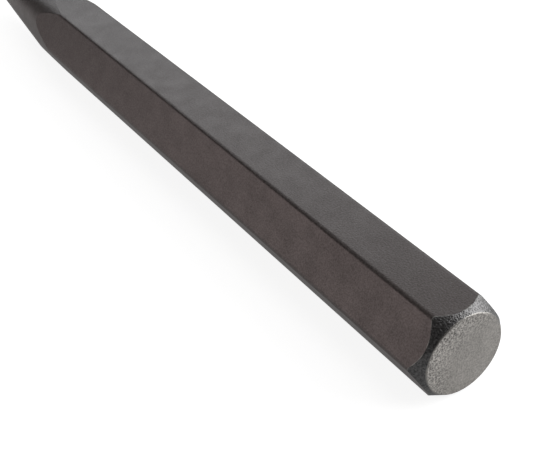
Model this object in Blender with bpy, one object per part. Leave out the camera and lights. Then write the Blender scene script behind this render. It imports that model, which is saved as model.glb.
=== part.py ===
"""Solid hand center punch: one bar of hexagon tool steel, turned and ground at both ends.

It lies along X on one of its flats. The struck end is at -X and the point is at +X.
The origin is on the ground, under the middle of its length.
"""

from math import atan2, cos, pi, radians, sin, tan

import bmesh
import bpy
from mathutils import Vector

# Driving dimensions, in metres and degrees.
LENGTH = 0.1524                 # struck face to the tip of the point
ACROSS_FLATS = 0.0127           # hexagon bar stock
CORNER_RADIUS = 0.0008          # rounded long corners of the drawn bar

STRUCK_FACE_RADIUS = 0.0058     # flat round face that the hammer meets
CHAMFER_ANGLE = 36.0            # struck end chamfer, measured to the axis
RIM_RADIUS = 0.00025            # rounding between the struck face and its chamfer

SHANK_LENGTH = 0.110            # struck face to where the taper first cuts the corners
POINT_RADIUS = 0.003175         # small end of the taper
POINT_ANGLE = 45.0              # ground point, measured to the axis
TIP_RADIUS = 0.00025            # rounding at the tip
SHOULDER_RADIUS = 0.0003        # rounding between the taper and the ground point

# Tooling sizes, which leave no mark of their own on the finished bar.
CLEARANCE = 0.0008              # how far the turning profile stands clear of the corners
STOCK_OVERHANG = 0.004          # how far the raw bar runs past each finished end
TURNING_STEPS = 96              # facets around the turned ends
CORNER_STEPS = 4                # facets across each rounded corner
ARC_STEPS = 5                   # facets along each rounding of the turning profile
SHARP_ANGLE = 14.0              # edges steeper than this stay crisp

# Sizes that follow from the ones above.
AXIS_HEIGHT = ACROSS_FLATS / 2
SHARP_CORNER_REACH = AXIS_HEIGHT / cos(pi / 6)
CORNER_REACH = SHARP_CORNER_REACH - CORNER_RADIUS * (1 / cos(pi / 6) - 1)
CORNER_PROFILE = (1 - tan(pi / 12)) ** 2  # bevel profile that follows a true arc on a 120 degree corner
SHARP_TIP = LENGTH + TIP_RADIUS / sin(radians(POINT_ANGLE)) - TIP_RADIUS
POINT_START = SHARP_TIP - POINT_RADIUS / tan(radians(POINT_ANGLE))
TAPER_SLOPE = (CORNER_REACH - POINT_RADIUS) / (POINT_START - SHANK_LENGTH)

STEEL_COLOUR = (0.14, 0.12, 0.114, 1.0)
STEEL_ROUGHNESS = 0.4
STEEL_METALLIC = 0.9


def clear_scene():
    """Remove every object of the open scene."""
    for obj in list(bpy.data.objects):
        bpy.data.objects.remove(obj, do_unlink=True)


def steel_material():
    """The dark, lightly blasted oxide finish of the whole punch."""
    material = bpy.data.materials.new("black_oxide_steel")
    material.use_nodes = True
    shader = material.node_tree.nodes["Principled BSDF"]
    shader.inputs["Base Color"].default_value = STEEL_COLOUR
    shader.inputs["Roughness"].default_value = STEEL_ROUGHNESS
    shader.inputs["Metallic"].default_value = STEEL_METALLIC
    return material


def add_object(name, mesh, parent=None):
    """Link a mesh, or an empty where mesh is None, into the scene."""
    obj = bpy.data.objects.new(name, mesh)
    bpy.context.scene.collection.objects.link(obj)
    obj.parent = parent
    return obj


def rounded(before, corner, after, radius):
    """Points of the arc that rounds one corner of a turning profile."""
    back = (before - corner).normalized()
    ahead = (after - corner).normalized()
    half_angle = back.angle(ahead) / 2
    centre = corner + (back + ahead).normalized() * radius / sin(half_angle)
    start = corner + back * radius / tan(half_angle) - centre
    end = corner + ahead * radius / tan(half_angle) - centre
    start_angle = atan2(start.y, start.x)
    sweep = (atan2(end.y, end.x) - start_angle + pi) % (2 * pi) - pi
    angles = [start_angle + sweep * step / ARC_STEPS for step in range(ARC_STEPS + 1)]
    return [centre + radius * Vector((cos(angle), sin(angle))) for angle in angles]


def turning_profile():
    """The turned outline as (radius, distance from the struck face), from the tip to the struck face."""
    clear_radius = SHARP_CORNER_REACH + CLEARANCE
    tip = Vector((0.0, SHARP_TIP))
    shoulder = Vector((POINT_RADIUS, POINT_START))
    taper_top = Vector((clear_radius, SHANK_LENGTH - (clear_radius - CORNER_REACH) / TAPER_SLOPE))
    chamfer_depth = (clear_radius - STRUCK_FACE_RADIUS) / tan(radians(CHAMFER_ANGLE))
    chamfer_top = Vector((clear_radius, chamfer_depth))
    rim = Vector((STRUCK_FACE_RADIUS, 0.0))
    face_centre = Vector((0.0, 0.0))

    # The rounded tip is the outer half of the arc that joins the cone to its mirror image.
    mirrored_shoulder = Vector((-shoulder.x, shoulder.y))
    tip_arc = rounded(mirrored_shoulder, tip, shoulder, TIP_RADIUS)

    profile = [Vector((0.0, LENGTH))]
    profile += [point for point in tip_arc if point.x > 0]
    profile += rounded(tip, shoulder, taper_top, SHOULDER_RADIUS)
    profile += [taper_top, chamfer_top]
    profile += rounded(chamfer_top, rim, face_centre, RIM_RADIUS)
    profile.append(face_centre)
    return profile


def turning_envelope(axis):
    """The space that the lathe and the grinder leave: a turned solid around the punch's axis."""
    mesh = bpy.data.meshes.new("turning_envelope")
    shape = bmesh.new()
    points = [shape.verts.new((point.x, 0.0, point.y)) for point in turning_profile()]
    for upper, lower in zip(points, points[1:]):
        shape.edges.new((upper, lower))
    shape.to_mesh(mesh)
    shape.free()

    envelope = add_object("turning_envelope", mesh, axis)
    envelope.hide_render = True
    envelope.display_type = "WIRE"
    turn = envelope.modifiers.new("Turn", "SCREW")
    turn.axis = "Z"
    turn.steps = TURNING_STEPS
    turn.render_steps = TURNING_STEPS
    turn.use_merge_vertices = True
    turn.merge_threshold = 0.00001
    return envelope


def hexagon_stock(axis):
    """The raw hexagon bar, longer than the punch at both ends, with rounded long corners."""
    mesh = bpy.data.meshes.new("punch_body")
    shape = bmesh.new()
    bmesh.ops.create_cone(
        shape,
        cap_ends=True,
        segments=6,
        radius1=SHARP_CORNER_REACH,
        radius2=SHARP_CORNER_REACH,
        depth=LENGTH + 2 * STOCK_OVERHANG,
    )
    bmesh.ops.translate(shape, verts=shape.verts, vec=(0.0, 0.0, LENGTH / 2))
    long_corners = [edge for edge in shape.edges if abs(edge.verts[0].co.z - edge.verts[1].co.z) > LENGTH]
    bmesh.ops.bevel(
        shape,
        geom=long_corners,
        offset=CORNER_RADIUS * tan(pi / 6),
        offset_type="OFFSET",
        affect="EDGES",
        segments=CORNER_STEPS,
        profile=CORNER_PROFILE,
        material=-1,
    )
    shape.to_mesh(mesh)
    shape.free()
    return add_object("punch_body", mesh, axis)


def build_punch():
    """Make the bar and turn its two ends."""
    axis = add_object("punch_axis", None)
    axis.location = (-LENGTH / 2, 0.0, AXIS_HEIGHT)
    axis.rotation_euler = (0.0, pi / 2, 0.0)

    punch = hexagon_stock(axis)
    punch.data.materials.append(steel_material())
    turn_ends = punch.modifiers.new("Turn_ends", "BOOLEAN")
    turn_ends.operation = "INTERSECT"
    turn_ends.solver = "EXACT"
    turn_ends.object = turning_envelope(axis)

    punch.data.shade_smooth()
    punch.data.set_sharp_from_angle(angle=radians(SHARP_ANGLE))


clear_scene()
build_punch()
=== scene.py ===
"""Center punch: the finished look of one bar of hexagon tool steel, turned and ground at both ends.

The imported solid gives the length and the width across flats. This script remakes its surface at full
fineness, with softened edges, dresses each worked zone in its own finish, and sets up a pale studio.
"""

import logging
from dataclasses import dataclass, field
from enum import Enum
from functools import cached_property
from math import atan2, cos, pi, radians, sin, tan

import bmesh
import bpy
from bmesh.types import BMEdge, BMesh, BMFace, BMVert
from mathutils import Matrix, Vector


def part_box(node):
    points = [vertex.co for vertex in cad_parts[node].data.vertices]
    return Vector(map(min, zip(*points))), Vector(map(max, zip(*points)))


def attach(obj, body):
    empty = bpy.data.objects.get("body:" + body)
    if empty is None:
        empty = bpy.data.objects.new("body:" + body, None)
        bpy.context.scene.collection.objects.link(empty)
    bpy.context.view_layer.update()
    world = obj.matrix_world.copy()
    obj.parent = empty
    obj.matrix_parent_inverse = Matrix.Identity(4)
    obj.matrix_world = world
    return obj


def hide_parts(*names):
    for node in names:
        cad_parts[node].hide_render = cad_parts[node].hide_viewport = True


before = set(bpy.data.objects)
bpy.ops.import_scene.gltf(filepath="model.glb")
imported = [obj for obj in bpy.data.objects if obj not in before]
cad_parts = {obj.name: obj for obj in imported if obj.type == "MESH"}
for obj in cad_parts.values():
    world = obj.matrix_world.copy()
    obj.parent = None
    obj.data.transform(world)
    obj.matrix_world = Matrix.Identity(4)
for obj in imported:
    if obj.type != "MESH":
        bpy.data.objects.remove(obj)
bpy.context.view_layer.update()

log = logging.getLogger("center_punch")

Colour = tuple[float, float, float]
Socket = bpy.types.NodeSocket

MM = 0.001
SIDES = 6                   # flats of the bar
PITCH = 2 * pi / SIDES      # angle from one long corner to the next
HALF_PITCH = PITCH / 2      # angle from a long corner to the middle of the flat beside it

WHITE: Colour = (1.0, 1.0, 1.0)
OXIDE_DARK: Colour = (0.108, 0.091, 0.087)
OXIDE_LIGHT: Colour = (0.178, 0.152, 0.146)


class Zone(Enum):
    """The worked zones of the bar, in the order of their material slots."""

    STRUCK_FACE = 0
    CHAMFER = 1
    SHANK = 2
    TAPER = 3
    POINT = 4


# ---------------------------------------------------------------- shape


@dataclass(frozen=True)
class Stop:
    """One place on a side line of the bar.

    Attributes:
        depth: Distance behind the struck face.
        reach: Distance from the axis.
        angle: Angle around the axis.
        zone: The zone that the surface leading up to this stop belongs to.
        wear_and_rim_shade: How much of the edge colour is laid on here, from 0 to 1: finish rubbed off a
            worn edge, and painted shade on the struck face's rim.
    """

    depth: float
    reach: float
    angle: float
    zone: Zone
    wear_and_rim_shade: float = 0.0

    @property
    def place(self) -> Vector:
        """Where the stop is, measured from the struck face's centre."""
        return Vector((self.depth, self.reach * cos(self.angle), self.reach * sin(self.angle)))


@dataclass(frozen=True)
class HexagonBar:
    """Drawn hexagon bar with rounded long corners, which point to either side.

    Attributes:
        across_flats: Distance between opposite flats.
        corner_radius: Rounding of the six long corners.
        corner_steps: Facets across one rounded corner.
        flat_steps: Facets across one flat.
        guard: Angle between a corner's rounding and the first line on the flat beside it.
    """

    across_flats: float
    corner_radius: float = 0.8 * MM
    corner_steps: int = 10
    flat_steps: int = 16
    guard: float = radians(0.5)

    @property
    def corner_centre(self) -> float:
        """Distance from the axis to the centre of a corner's rounding."""
        return (self.across_flats / 2 - self.corner_radius) / cos(HALF_PITCH)

    @property
    def corner_reach(self) -> float:
        """Distance from the axis to the outside of a rounded corner."""
        return self.corner_centre + self.corner_radius

    @property
    def corner_half_angle(self) -> float:
        """Angle at the axis between a corner's middle and the end of its rounding."""
        side = self.corner_radius * sin(HALF_PITCH)
        return atan2(side, self.corner_centre + self.corner_radius * cos(HALF_PITCH))

    def reach(self, angle: float) -> float:
        """Distance from the axis to the bar's surface.

        Args:
            angle: Angle around the axis, where every multiple of PITCH is a corner.

        Returns:
            The distance in metres.
        """
        from_corner = abs((angle + HALF_PITCH) % PITCH - HALF_PITCH)
        if from_corner >= self.corner_half_angle:
            return self.across_flats / 2 / cos(HALF_PITCH - from_corner)
        along = self.corner_centre * cos(from_corner)
        across = self.corner_centre * sin(from_corner)
        return along + (self.corner_radius**2 - across**2) ** 0.5

    def side_line_angles(self) -> list[float]:
        """Angles of the lines that run along the bar, close together around the corners.

        Returns:
            The angles, once around the axis, starting where a corner's rounding does.
        """
        half = self.corner_half_angle
        over_corner = [half * (2 * step / self.corner_steps - 1) for step in range(self.corner_steps + 1)]
        first = half + self.guard
        flat_width = PITCH - 2 * first
        over_flat = [first + flat_width * step / self.flat_steps for step in range(self.flat_steps + 1)]
        return [side * PITCH + angle for side in range(SIDES) for angle in over_corner + over_flat]


@dataclass(frozen=True)
class StruckEnd:
    """The end that the hammer meets: a flat round face and the chamfer behind it.

    Attributes:
        face_radius: Radius of the face, up to the sharp edge where the chamfer starts.
        chamfer_angle: Angle between the chamfer and the axis.
        rim_radius: Rounding between the face and the chamfer.
        scallop_radius: Rounding between the chamfer and the hexagon behind it.
    """

    face_radius: float = 5.8 * MM
    chamfer_angle: float = radians(36.0)
    rim_radius: float = 0.25 * MM
    scallop_radius: float = 0.10 * MM

    def scallop_depth(self, reach: float) -> float:
        """How far behind the struck face the chamfer leaves a surface at this reach."""
        return (reach - self.face_radius) / tan(self.chamfer_angle)


@dataclass(frozen=True)
class PointEnd:
    """The working end: a long turned taper and a ground conical point.

    Attributes:
        shank_length: Distance from the struck face to where the taper first cuts the long corners.
        point_radius: Radius where the ground point meets the taper.
        point_angle: Angle between the ground point and the axis.
        tip_radius: Rounding of the tip.
        shoulder_radius: Rounding between the taper and the ground point.
        taper_blend_radius: Rounding between the hexagon and the taper.
    """

    shank_length: float = 110.0 * MM
    point_radius: float = 3.175 * MM
    point_angle: float = radians(45.0)
    tip_radius: float = 0.25 * MM
    shoulder_radius: float = 0.3 * MM
    taper_blend_radius: float = 3.0 * MM

    def sharp_tip(self, length: float) -> float:
        """Depth at which the point would end if its tip weren't rounded."""
        return length + self.tip_radius / sin(self.point_angle) - self.tip_radius

    def point_start(self, length: float) -> float:
        """Depth at which the ground point meets the taper."""
        return self.sharp_tip(length) - self.point_radius / tan(self.point_angle)


@dataclass(frozen=True)
class Leg:
    """A straight run of a side line.

    Attributes:
        zone: The zone that the run belongs to, with the rounding at its end.
        rows: How many facets the run is divided into.
        edge_wear_and_rim_shade: How much of the edge colour that rounding gets, from 0 to 1: finish rubbed
            off a worn edge, and painted shade on the struck face's rim.
    """

    zone: Zone
    rows: int
    edge_wear_and_rim_shade: float = 0.0


@dataclass
class PunchBody:
    """The whole punch: one bar, turned and ground at both ends.

    Attributes:
        low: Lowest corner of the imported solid.
        high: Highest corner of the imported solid.
        struck_end: Sizes of the struck end.
        point_end: Sizes of the taper and the point.
        legs: The straight runs of a side line, from the struck face's centre to the tip.
        rounding_steps: Facets along each rounding between two runs.
        guard: Width of the narrow strip that keeps a rounding's shading off the flat beside it.
        narrowest: Stops with less reach than this, or past the axis, are left out.
        bar: The hexagon bar that the punch is cut from.
    """

    low: Vector
    high: Vector
    struck_end: StruckEnd = StruckEnd()
    point_end: PointEnd = PointEnd()
    legs: tuple[Leg, ...] = (
        # The face's rim gets the full edge colour: painted shade that tones down the rim's highlight.
        Leg(Zone.STRUCK_FACE, 8, edge_wear_and_rim_shade=1.0),
        Leg(Zone.CHAMFER, 8, edge_wear_and_rim_shade=0.9),
        Leg(Zone.SHANK, 60),
        Leg(Zone.TAPER, 36),
        Leg(Zone.POINT, 10),
    )
    rounding_steps: int = 6
    guard: float = 0.12 * MM
    narrowest: float = 0.01 * MM
    bar: HexagonBar = field(init=False)

    def __post_init__(self) -> None:
        """Takes the bar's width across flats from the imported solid."""
        self.bar = HexagonBar(across_flats=self.high.z - self.low.z)

    @property
    def length(self) -> float:
        """Struck face to tip."""
        return self.high.x - self.low.x

    @property
    def face_middle(self) -> Vector:
        """Middle of the struck face."""
        middle = (self.low + self.high) / 2
        return Vector((self.low.x, middle.y, middle.z))

    def corners(self, angle: float) -> list[tuple[Vector, float]]:
        """The sharp corners of one side line, as (depth, reach), each with its rounding radius.

        Args:
            angle: Angle of the side line around the axis.

        Returns:
            The corners from the struck face's centre to the tip, and one on the far side of the axis,
            which gives the tip's rounding its direction.
        """
        struck, point = self.struck_end, self.point_end
        reach = self.bar.reach(angle)
        point_start = point.point_start(self.length)
        taper_length = point_start - point.shank_length
        slope = (self.bar.corner_reach - point.point_radius) / taper_length
        taper_start = point.shank_length + (self.bar.corner_reach - reach) / slope
        return [
            (Vector((0.0, 0.0)), 0.0),
            (Vector((0.0, struck.face_radius)), struck.rim_radius),
            (Vector((struck.scallop_depth(reach), reach)), struck.scallop_radius),
            (Vector((taper_start, reach)), point.taper_blend_radius),
            (Vector((point_start, point.point_radius)), point.shoulder_radius),
            (Vector((point.sharp_tip(self.length), 0.0)), point.tip_radius),
            (Vector((point_start, -point.point_radius)), 0.0),
        ]

    def rounding(self, before: Vector, corner: Vector, after: Vector, radius: float) -> list[Vector]:
        """Divides the arc that rounds one corner of a side line.

        Args:
            before: The corner before this one.
            corner: The corner to round.
            after: The corner after this one.
            radius: Radius of the arc.

        Returns:
            The points of the arc, from the side of before to the side of after.
        """
        back = (before - corner).normalized()
        ahead = (after - corner).normalized()
        half_angle = back.angle(ahead) / 2
        centre = corner + (back + ahead).normalized() * radius / sin(half_angle)
        start = corner + back * radius / tan(half_angle) - centre
        end = corner + ahead * radius / tan(half_angle) - centre
        start_angle = atan2(start.y, start.x)
        sweep = (atan2(end.y, end.x) - start_angle + pi) % (2 * pi) - pi
        shares = [step / self.rounding_steps for step in range(self.rounding_steps + 1)]
        turns = [start_angle + sweep * share for share in shares]
        return [centre + radius * Vector((cos(turn), sin(turn))) for turn in turns]

    def run(self, start: Vector, end: Vector, rows: int) -> list[Vector]:
        """Divides one straight run, with a narrow strip at either end.

        Args:
            start: End of the rounding before the run.
            end: Start of the rounding after the run.
            rows: How many facets to divide it into, between the two strips.

        Returns:
            The points between start and end, without either of them.
        """
        strip = self.guard / (end - start).length
        shares = [strip + (1 - 2 * strip) * row / rows for row in range(rows + 1)]
        return [start.lerp(end, share) for share in shares]

    def side_line(self, angle: float) -> list[Stop]:
        """The punch's outline along one line from the struck face's centre to the tip.

        Args:
            angle: Angle of the side line around the axis.

        Returns:
            The stops, as many of them at every angle, so that stops with the same number form a ring.
        """
        corners = self.corners(angle)
        stops: list[Stop] = []
        start = corners[0][0]
        for number, leg in enumerate(self.legs):
            before, after = corners[number][0], corners[number + 2][0]
            corner, radius = corners[number + 1]
            arc = self.rounding(before, corner, after, radius)
            for point in self.run(start, arc[0], leg.rows):
                stops.append(Stop(point.x, point.y, angle, leg.zone))
            for step, point in enumerate(arc):
                wear_and_rim_shade = leg.edge_wear_and_rim_shade * sin(pi / 2 * step / self.rounding_steps)
                stops.append(Stop(point.x, point.y, angle, leg.zone, wear_and_rim_shade))
            start = arc[-1]
        return [stop for stop in stops if stop.reach > self.narrowest]

    def place_ring(self, shape: BMesh, points: list[BMVert], ring: tuple[Stop, ...]) -> None:
        """Moves a ring's points to their stops and marks the wear on them.

        Args:
            shape: The mesh that the points belong to.
            points: The ring's points, each of which carries the number of its side line.
            ring: The ring's stops, one on each side line.
        """
        line_of = shape.verts.layers.int["side_line"]
        wear_and_rim_shade_of = shape.verts.layers.float["wear_and_rim_shade"]
        for point in points:
            stop = ring[point[line_of]]
            point.co = self.face_middle + stop.place
            point[wear_and_rim_shade_of] = stop.wear_and_rim_shade

    def skin(self) -> bpy.types.Mesh:
        """Pulls a ring of edges along the bar, from the struck face's centre to the tip.

        Returns:
            The closed mesh, in place, with a wear value on every point.
        """
        side_lines = [self.side_line(angle) for angle in self.bar.side_line_angles()]
        rings = list(zip(*side_lines))
        tip = self.face_middle + Vector((self.length, 0.0, 0.0))

        shape = bmesh.new()
        line_of = shape.verts.layers.int.new("side_line")
        shape.verts.layers.float.new("wear_and_rim_shade")
        circle = bmesh.ops.create_circle(
            shape, cap_ends=False, segments=len(side_lines), radius=self.bar.corner_reach
        )
        first = circle["verts"]
        for number, point in enumerate(first):
            point[line_of] = number
        self.place_ring(shape, first, rings[0])
        points, rim = first, list(shape.edges)
        for ring in rings[1:]:
            pulled = bmesh.ops.extrude_edge_only(shape, edges=rim)["geom"]
            points = [part for part in pulled if isinstance(part, BMVert)]
            self.place_ring(shape, points, ring)
            new = set(points)
            rim = [part for part in pulled if isinstance(part, BMEdge) and new.issuperset(part.verts)]
            for face in (part for part in pulled if isinstance(part, BMFace)):
                face.material_index = ring[0].zone.value

        bmesh.ops.pointmerge(shape, verts=first, merge_co=self.face_middle)
        bmesh.ops.pointmerge(shape, verts=points, merge_co=tip)
        bmesh.ops.recalc_face_normals(shape, faces=shape.faces)
        shape.verts.layers.int.remove(shape.verts.layers.int["side_line"])

        mesh = bpy.data.meshes.new("punch_skin")
        shape.to_mesh(mesh)
        shape.free()
        mesh.shade_smooth()
        return mesh

    def build(self) -> bpy.types.Object:
        """Makes the punch as one object, without its finishes.

        Returns:
            The object, at the origin, whose faces carry their zones' slot numbers.
        """
        punch = bpy.data.objects.new("punch_skin", self.skin())
        bpy.context.scene.collection.objects.link(punch)
        return punch

    def dress(self, punch: bpy.types.Object) -> None:
        """Gives each zone its finish.

        Args:
            punch: The object that build made.
        """
        chosen = finishes(self.face_middle)
        for zone in Zone:
            punch.data.materials.append(chosen[zone].material(f"punch_{zone.name.lower()}"))


# ---------------------------------------------------------------- finishes


class Bench:
    """Adds shader nodes to a material or a world, and links them."""

    def __init__(self, owner: bpy.types.Material | bpy.types.World) -> None:
        """Opens the owner's node tree.

        Args:
            owner: The material or world that the nodes belong to.
        """
        owner.use_nodes = True
        self.owner = owner
        self.tree = owner.node_tree

    @cached_property
    def place(self) -> Socket:
        """The place on the object."""
        return self.node("ShaderNodeTexCoord", {}).outputs["Object"]

    def node(self, kind: str, inputs: dict[str | int, object], **settings: object) -> bpy.types.Node:
        """Adds one node.

        Args:
            kind: The node's type.
            inputs: Each input's value, or the socket that feeds it.
            **settings: The node's own properties.

        Returns:
            The new node.
        """
        node = self.tree.nodes.new(kind)
        for name, value in settings.items():
            setattr(node, name, value)
        for key, value in inputs.items():
            self.feed(node.inputs[key], value)
        return node

    def feed(self, socket: Socket, value: object) -> None:
        """Links another node's socket to this one, or sets its value.

        Args:
            socket: The socket that takes the value.
            value: A number, a colour, or the socket that feeds it.
        """
        if isinstance(value, Socket):
            self.tree.links.new(value, socket)
        else:
            socket.default_value = value

    def shade(self, inputs: dict[str, object]) -> None:
        """Sets the inputs of the material's own shader.

        Args:
            inputs: Each input's value, or the socket that feeds it.
        """
        shader = self.tree.nodes["Principled BSDF"]
        for name, value in inputs.items():
            self.feed(shader.inputs[name], value)

    def noise(self, size: float, layers: float = 2.0, rough: float = 0.5) -> Socket:
        """Cloudy noise.

        Args:
            size: Rough distance between its blobs.
            layers: How many finer layers it has.
            rough: How strong the finer layers are.

        Returns:
            The noise's value, mostly between 0.3 and 0.7.
        """
        inputs = {"Vector": self.place, "Scale": 1 / size, "Detail": layers, "Roughness": rough}
        return self.node("ShaderNodeTexNoise", inputs).outputs[0]

    def lines(self, along: float, around: float) -> Socket:
        """Fine lines around the bar's axis, as a turning tool or a grinding wheel leaves.

        Args:
            along: Distance between the lines, along the axis.
            around: How far one line runs before it fades.

        Returns:
            The lines' height, mostly between 0.3 and 0.7.
        """
        scale = (1 / along, 1 / around, 1 / around)
        place = self.node("ShaderNodeMapping", {"Vector": self.place, "Scale": scale}).outputs[0]
        return self.node("ShaderNodeTexNoise", {"Vector": place, "Scale": 1.0}).outputs[0]

    def distance(self, centre: Vector) -> Socket:
        """How far each point of the surface is from a place on the object."""
        inputs = {0: self.place, 1: centre}
        return self.node("ShaderNodeVectorMath", inputs, operation="DISTANCE").outputs["Value"]

    def spread(
        self, value: Socket, low: float, high: float, to_low: float = 0.0, to_high: float = 1.0
    ) -> Socket:
        """Maps one range of a value to another, clamped at both ends.

        Args:
            value: The value.
            low: Start of its range.
            high: End of its range.
            to_low: What the start becomes.
            to_high: What the end becomes.

        Returns:
            The mapped value.
        """
        inputs = {"Value": value, "From Min": low, "From Max": high, "To Min": to_low, "To Max": to_high}
        return self.node("ShaderNodeMapRange", inputs, clamp=True).outputs[0]

    def maths(self, operation: str, *values: object) -> Socket:
        """Arithmetic on one, two or three values."""
        return self.node("ShaderNodeMath", dict(enumerate(values)), operation=operation).outputs[0]

    def blend(self, share: object, first: object, second: object) -> Socket:
        """Mixes two colours.

        Args:
            share: Share of the second colour, from 0 to 1.
            first: The first colour.
            second: The second colour.

        Returns:
            The mixed colour.
        """
        inputs = {"Fac": share, "Color1": first, "Color2": second}
        return self.node("ShaderNodeMixRGB", inputs).outputs[0]

    def painted(self, name: str) -> Socket:
        """A value painted on the mesh."""
        return self.node("ShaderNodeAttribute", {}, attribute_name=name).outputs["Fac"]

    def seen_by_camera(self) -> Socket:
        """1 where the camera itself looks, and 0 for light on its way between surfaces."""
        return self.node("ShaderNodeLightPath", {}).outputs["Is Camera Ray"]

    def surround(self, colour: Colour, strength: float) -> Socket:
        """An even light from all around, for a world."""
        return self.node("ShaderNodeBackground", {"Color": solid(colour), "Strength": strength}).outputs[0]


def solid(colour: Colour) -> tuple[float, float, float, float]:
    """A colour with full alpha."""
    return (*colour, 1.0)


@dataclass(frozen=True)
class BlastedFinish:
    """Steel blasted to a fine even grain and then blackened.

    A range gives the noise values that stand for none and all of a thing.

    Attributes:
        dark: Colour in the pits and in the darker patches.
        light: Colour on the peaks and in the lighter patches.
        rubbed_and_rim_shade: Colour where an edge is rubbed; on the struck face's rim, a darker colour
            that paints shade over the rim's highlight.
        metallic: Share of metal in the shader.
        roughness: Roughness of the duller patches.
        polish: How much smoother the shinier patches are.
        patch_size: Distance between the patches.
        patch_layers: How many finer layers the patches' noise has.
        patch_rough: How strong those layers are.
        patch_range: Range of the patches' noise, from dark and dull to light and shiny.
        grain_size: Distance between the pits.
        grain_layers: How many finer layers the grain's noise has.
        grain_depth: Depth of the pits.
        grain_range: Range of the relief, from pit to peak.
        grain_contrast: How much of the colour's variation is the grain's, and not the patches'.
        rub_length: Distance between the rubbed stretches of an edge.
        rub_range: Range of the noise that divides an edge into stretches, from none to all of the edge
            colour.
    """

    dark: Colour
    light: Colour
    rubbed_and_rim_shade: Colour = (0.32, 0.31, 0.295)
    metallic: float = 0.9
    roughness: float = 0.42
    polish: float = 0.06
    patch_size: float = 3.0 * MM
    patch_layers: float = 4.0
    patch_rough: float = 0.6
    patch_range: tuple[float, float] = (0.35, 0.65)
    grain_size: float = 0.24 * MM
    grain_layers: float = 1.5
    grain_depth: float = 0.03 * MM
    grain_range: tuple[float, float] = (0.3, 0.7)
    grain_contrast: float = 0.8
    rub_length: float = 1.6 * MM
    rub_range: tuple[float, float] = (0.42, 0.6)

    def relief(self, bench: Bench) -> Socket:
        """The height of the surface, mostly inside grain_range."""
        return bench.noise(self.grain_size, layers=self.grain_layers)

    def remaining(self, bench: Bench) -> Socket | float:
        """How much of the relief use has left, from 0 to 1, which is all of it here."""
        return 1.0

    def patches(self, bench: Bench) -> Socket:
        """Where the darker and lighter patches lie, from 0 to 1."""
        clouds = bench.noise(self.patch_size, layers=self.patch_layers, rough=self.patch_rough)
        return bench.spread(clouds, *self.patch_range)

    def colour(self, bench: Bench, patches: Socket, relief: Socket, remaining: Socket | float) -> Socket:
        """The steel's colour, with its grain, its patches and its rubbed edges.

        Args:
            bench: The material's nodes.
            patches: Where the patches lie.
            relief: The height of the surface.
            remaining: How much of the relief is left.

        Returns:
            The colour.
        """
        grain = bench.maths("MULTIPLY", bench.spread(relief, *self.grain_range, -0.5, 0.5), remaining)
        clouds = bench.maths("SUBTRACT", patches, 0.5)
        level = bench.maths("MULTIPLY_ADD", clouds, 1 - self.grain_contrast, 0.5)
        share = bench.maths("MULTIPLY_ADD", grain, self.grain_contrast, level)
        steel = bench.blend(share, solid(self.dark), solid(self.light))
        stretches = bench.spread(bench.noise(self.rub_length), *self.rub_range)
        # Edge colour: rubbed steel along the worn edges, and painted shade over the struck face's rim that
        # tones down its highlight.
        rub_and_rim_shade = bench.maths("MULTIPLY", bench.painted("wear_and_rim_shade"), stretches)
        return bench.blend(rub_and_rim_shade, steel, solid(self.rubbed_and_rim_shade))

    def material(self, name: str) -> bpy.types.Material:
        """Makes the finish.

        Args:
            name: The material's name.

        Returns:
            The material.
        """
        bench = Bench(bpy.data.materials.new(name))
        patches, relief, remaining = self.patches(bench), self.relief(bench), self.remaining(bench)
        height = bench.maths("MULTIPLY", relief, remaining)
        bump = bench.node("ShaderNodeBump", {"Distance": self.grain_depth, "Height": height})
        shiniest = self.roughness - self.polish
        bench.shade({
            "Base Color": self.colour(bench, patches, relief, remaining),
            "Metallic": self.metallic,
            "Roughness": bench.spread(patches, 0.0, 1.0, self.roughness, shiniest),
            "Normal": bump.outputs["Normal"],
        })
        return bench.owner


@dataclass(frozen=True)
class StruckFinish(BlastedFinish):
    """A blasted face that hammer blows have flattened, a little below and to one side of its middle.

    Attributes:
        face_middle: Middle of the face.
        blow_offset: From there to the place that the blows have flattened most.
        fringe: Distances from that place at which the grain starts to come back and is whole again.
        left_over: How much of the grain the flattest place keeps.
    """

    face_middle: Vector = field(default_factory=Vector)
    blow_offset: tuple[float, float, float] = (0.0, -2.5 * MM, -2.0 * MM)
    fringe: tuple[float, float] = (4.5 * MM, 9.0 * MM)
    left_over: float = 0.3

    def remaining(self, bench: Bench) -> Socket | float:
        """How much of the relief the blows have left, from 0 to 1."""
        from_blows = bench.distance(self.face_middle + Vector(self.blow_offset))
        return bench.spread(from_blows, *self.fringe, self.left_over, 1.0)


@dataclass(frozen=True)
class TurnedFinish(BlastedFinish):
    """A blackened surface that still shows the turning tool's lines under its grain.

    Attributes:
        pitch: Distance between the lines.
        line_run: How far one line runs before it fades.
        line_share: How much of the relief is lines, and not grain.
    """

    pitch: float = 0.12 * MM
    line_run: float = 8.0 * MM
    line_share: float = 0.6

    def relief(self, bench: Bench) -> Socket:
        """The height of the surface, mostly inside grain_range."""
        grain = bench.maths("MULTIPLY", super().relief(bench), 1 - self.line_share)
        return bench.maths("MULTIPLY_ADD", bench.lines(self.pitch, self.line_run), self.line_share, grain)


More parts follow.
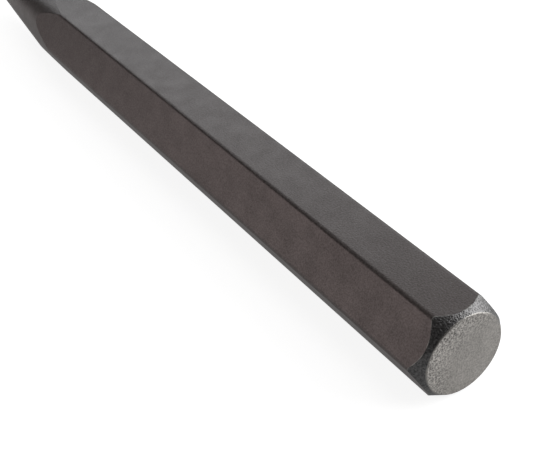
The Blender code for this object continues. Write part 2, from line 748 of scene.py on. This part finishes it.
def finishes(face_middle: Vector) -> dict[Zone, BlastedFinish]:
    """The finish of every zone.

    Args:
        face_middle: Middle of the struck face.

    Returns:
        The finishes.
    """
    return {
        Zone.STRUCK_FACE: StruckFinish(
            # The face's light colour makes it far paler than the blackened chamfer: a painted reflection
            # of the pale table.
            dark=(0.055, 0.053, 0.050),
            light=(0.86, 0.82, 0.777),
            # Darker than the face and, with the rub range below, laid over the whole rim: painted shade
            # that tones down the rim's highlight.
            rubbed_and_rim_shade=(0.27, 0.26, 0.245),
            grain_size=0.25 * MM,
            grain_depth=0.07 * MM,
            grain_contrast=0.9,
            rub_range=(0.2, 0.4),
            face_middle=face_middle,
        ),
        Zone.CHAMFER: BlastedFinish(
            dark=(0.045, 0.045, 0.044),
            light=(0.175, 0.172, 0.174),
            roughness=0.35,
            grain_size=0.24 * MM,
            grain_depth=0.10 * MM,
        ),
        Zone.SHANK: BlastedFinish(dark=OXIDE_DARK, light=OXIDE_LIGHT, roughness=0.38),
        Zone.TAPER: TurnedFinish(dark=OXIDE_DARK, light=OXIDE_LIGHT, roughness=0.38),
        Zone.POINT: TurnedFinish(
            dark=(0.38, 0.375, 0.365),
            light=(0.54, 0.53, 0.52),
            metallic=1.0,
            roughness=0.3,
            grain_depth=0.012 * MM,
            pitch=0.06 * MM,
            line_run=3.0 * MM,
            line_share=0.9,
        ),
    }


# ---------------------------------------------------------------- studio


@dataclass(frozen=True)
class SoftBox:
    """A large soft studio lamp.

    Attributes:
        name: What it is called.
        azimuth: Direction it stands in, from +X towards +Y, in degrees.
        elevation: Height above the horizon, in degrees.
        distance: Distance from what it lights.
        size: Width and height.
        power: Power in watts.
        colour: Colour of its light.
    """

    name: str
    azimuth: float
    elevation: float
    distance: float
    size: tuple[float, float]
    power: float
    colour: Colour = WHITE

    def place(self, target: Vector) -> None:
        """Sets up the lamp, turned to what it lights.

        Args:
            target: Middle of what it lights.
        """
        data = bpy.data.lights.new(self.name, "AREA")
        data.shape = "RECTANGLE"
        data.size, data.size_y = self.size
        data.energy = self.power
        data.color = self.colour
        lamp = bpy.data.objects.new(self.name, data)
        bpy.context.scene.collection.objects.link(lamp)
        away = direction(self.azimuth, self.elevation)
        lamp.location = target + away * self.distance
        lamp.rotation_euler = away.to_track_quat("Z", "Y").to_euler()


def direction(azimuth: float, elevation: float) -> Vector:
    """A unit vector, from an azimuth from +X towards +Y and an elevation, in degrees."""
    turn, rise = radians(azimuth), radians(elevation)
    return Vector((cos(rise) * cos(turn), cos(rise) * sin(turn), sin(rise)))


@dataclass(frozen=True)
class Studio:
    """A pale table under soft lamps, and the camera.

    Attributes:
        behind_face: How far behind the struck face the camera looks.
        beside_axis: How far to the +Y side of the axis the camera looks.
        azimuth: Direction that the camera stands in, from +X towards +Y, in degrees.
        elevation: Height of the camera above the horizon, in degrees.
        roll: Turn of the camera about its own line of sight, in degrees.
        distance: Distance from the camera to the point that it looks at.
        lens: Focal length, in millimetres.
        frame_width: Width of the camera's frame, in millimetres.
        nearest: Nearest thing that the camera sees.
        farthest: Farthest thing that the camera sees.
        table_reach: Distance from the origin, under the punch, to the sides of the table top.
        table_colour: Colour of the table top.
        table_roughness: Roughness of the table top.
        table_gloss: Strength of its gloss, where 0.5 is a glossy plastic's.
        table_glow: Light that the table gives off itself.
        table_lift: Extra light that only the camera sees. It keeps the table pale but dim in reflections.
        room_colour: Colour of the light from the room around.
        room_light: Strength of that light.
        lamps: The soft boxes.
    """

    behind_face: float = 36.17 * MM
    beside_axis: float = 3.71 * MM
    azimuth: float = 149.08
    elevation: float = 35.40
    roll: float = -3.42
    distance: float = 151.1 * MM
    lens: float = 69.6
    frame_width: float = 36.0
    nearest: float = 1.0 * MM
    farthest: float = 20.0
    table_reach: float = 4.0
    table_colour: Colour = (0.35, 0.35, 0.35)
    table_roughness: float = 0.8
    table_gloss: float = 0.1
    table_glow: float = 0.25
    table_lift: float = 0.63
    room_colour: Colour = (1.0, 0.94, 0.90)
    room_light: float = 0.08
    lamps: tuple[SoftBox, ...] = (
        SoftBox(
            name="lamp_back",
            azimuth=-25.0,
            elevation=28.0,
            distance=1.0,
            size=(1.2, 0.5),
            power=2.3,
            colour=(0.87, 0.96, 1.0),
        ),
        SoftBox(
            name="lamp_left",
            azimuth=56.0,
            elevation=11.0,
            distance=1.0,
            size=(0.8, 0.35),
            power=0.7,
            colour=(1.0, 0.93, 0.94),
        ),
        SoftBox(
            name="lamp_side",
            azimuth=92.0,
            elevation=46.0,
            distance=1.0,
            size=(0.5, 0.4),
            power=0.4,
        ),
        SoftBox(
            name="lamp_right",
            azimuth=-112.0,
            elevation=26.0,
            distance=0.8,
            size=(0.95, 0.72),
            power=8.2,
        ),
        SoftBox(
            name="lamp_over",
            azimuth=-110.0,
            elevation=80.0,
            distance=1.2,
            size=(0.8, 0.8),
            power=2.4,
        ),
    )

    def place_camera(self, low: Vector, high: Vector) -> None:
        """Sets the camera up.

        Args:
            low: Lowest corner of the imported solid.
            high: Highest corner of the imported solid.
        """
        axis = (low + high) / 2
        target = Vector((low.x + self.behind_face, axis.y + self.beside_axis, axis.z))
        away = direction(self.azimuth, self.elevation)
        data = bpy.data.cameras.new("camera")
        data.lens = self.lens
        data.sensor_width = self.frame_width
        data.clip_start = self.nearest
        data.clip_end = self.farthest
        camera = bpy.data.objects.new("camera", data)
        bpy.context.scene.collection.objects.link(camera)
        look = away.to_track_quat("Z", "Y").to_matrix().to_4x4()
        turn = Matrix.Rotation(radians(self.roll), 4, "Z")
        camera.matrix_world = Matrix.Translation(target + away * self.distance) @ look @ turn
        bpy.context.scene.camera = camera

    def table(self) -> bpy.types.Object:
        """Makes the pale table top that the punch lies on.

        Returns:
            The table top.
        """
        shape = bmesh.new()
        bmesh.ops.create_grid(shape, x_segments=1, y_segments=1, size=self.table_reach)
        mesh = bpy.data.meshes.new("table_top")
        shape.to_mesh(mesh)
        shape.free()
        table = bpy.data.objects.new("table_top", mesh)
        bpy.context.scene.collection.objects.link(table)

        bench = Bench(bpy.data.materials.new("pale_table"))
        glow = bench.maths("MULTIPLY_ADD", bench.seen_by_camera(), self.table_lift, self.table_glow)
        bench.shade({
            "Base Color": solid(self.table_colour),
            "Roughness": self.table_roughness,
            "Specular IOR Level": self.table_gloss,
            "Emission Color": solid(WHITE),
            "Emission Strength": glow,
        })
        mesh.materials.append(bench.owner)
        return table

    def room(self) -> None:
        """Makes a dim room, which the camera itself sees as a pale backdrop."""
        world = bpy.data.worlds.new("studio")
        bpy.context.scene.world = world
        bench = Bench(world)
        bench.tree.nodes.clear()
        room = bench.surround(self.room_colour, self.room_light)
        backdrop = bench.surround(WHITE, self.table_glow + self.table_lift)
        mixed = bench.node("ShaderNodeMixShader", {0: bench.seen_by_camera(), 1: room, 2: backdrop})
        bench.node("ShaderNodeOutputWorld", {"Surface": mixed.outputs[0]})

    def build(self, low: Vector, high: Vector) -> bpy.types.Object:
        """Sets up the whole studio.

        Args:
            low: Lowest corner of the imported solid.
            high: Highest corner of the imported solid.

        Returns:
            The table top.
        """
        self.room()
        for lamp in self.lamps:
            lamp.place((low + high) / 2)
        self.place_camera(low, high)
        bpy.context.scene.view_settings.view_transform = "Standard"
        return self.table()


def main() -> None:
    """Builds the punch and the studio, and reports each piece."""
    logging.basicConfig(level=logging.INFO, format="%(name)s: %(message)s")
    low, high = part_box("punch_body")

    body = PunchBody(low, high)
    punch = body.build()
    body.dress(punch)
    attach(punch, "root")
    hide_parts("punch_body")
    log.info("%s: %d points, %d faces", punch.name, len(punch.data.vertices), len(punch.data.polygons))

    table = Studio().build(low, high)
    log.info("%s: in place, with the lamps and the camera", table.name)


if __name__ == "__main__":
    main()
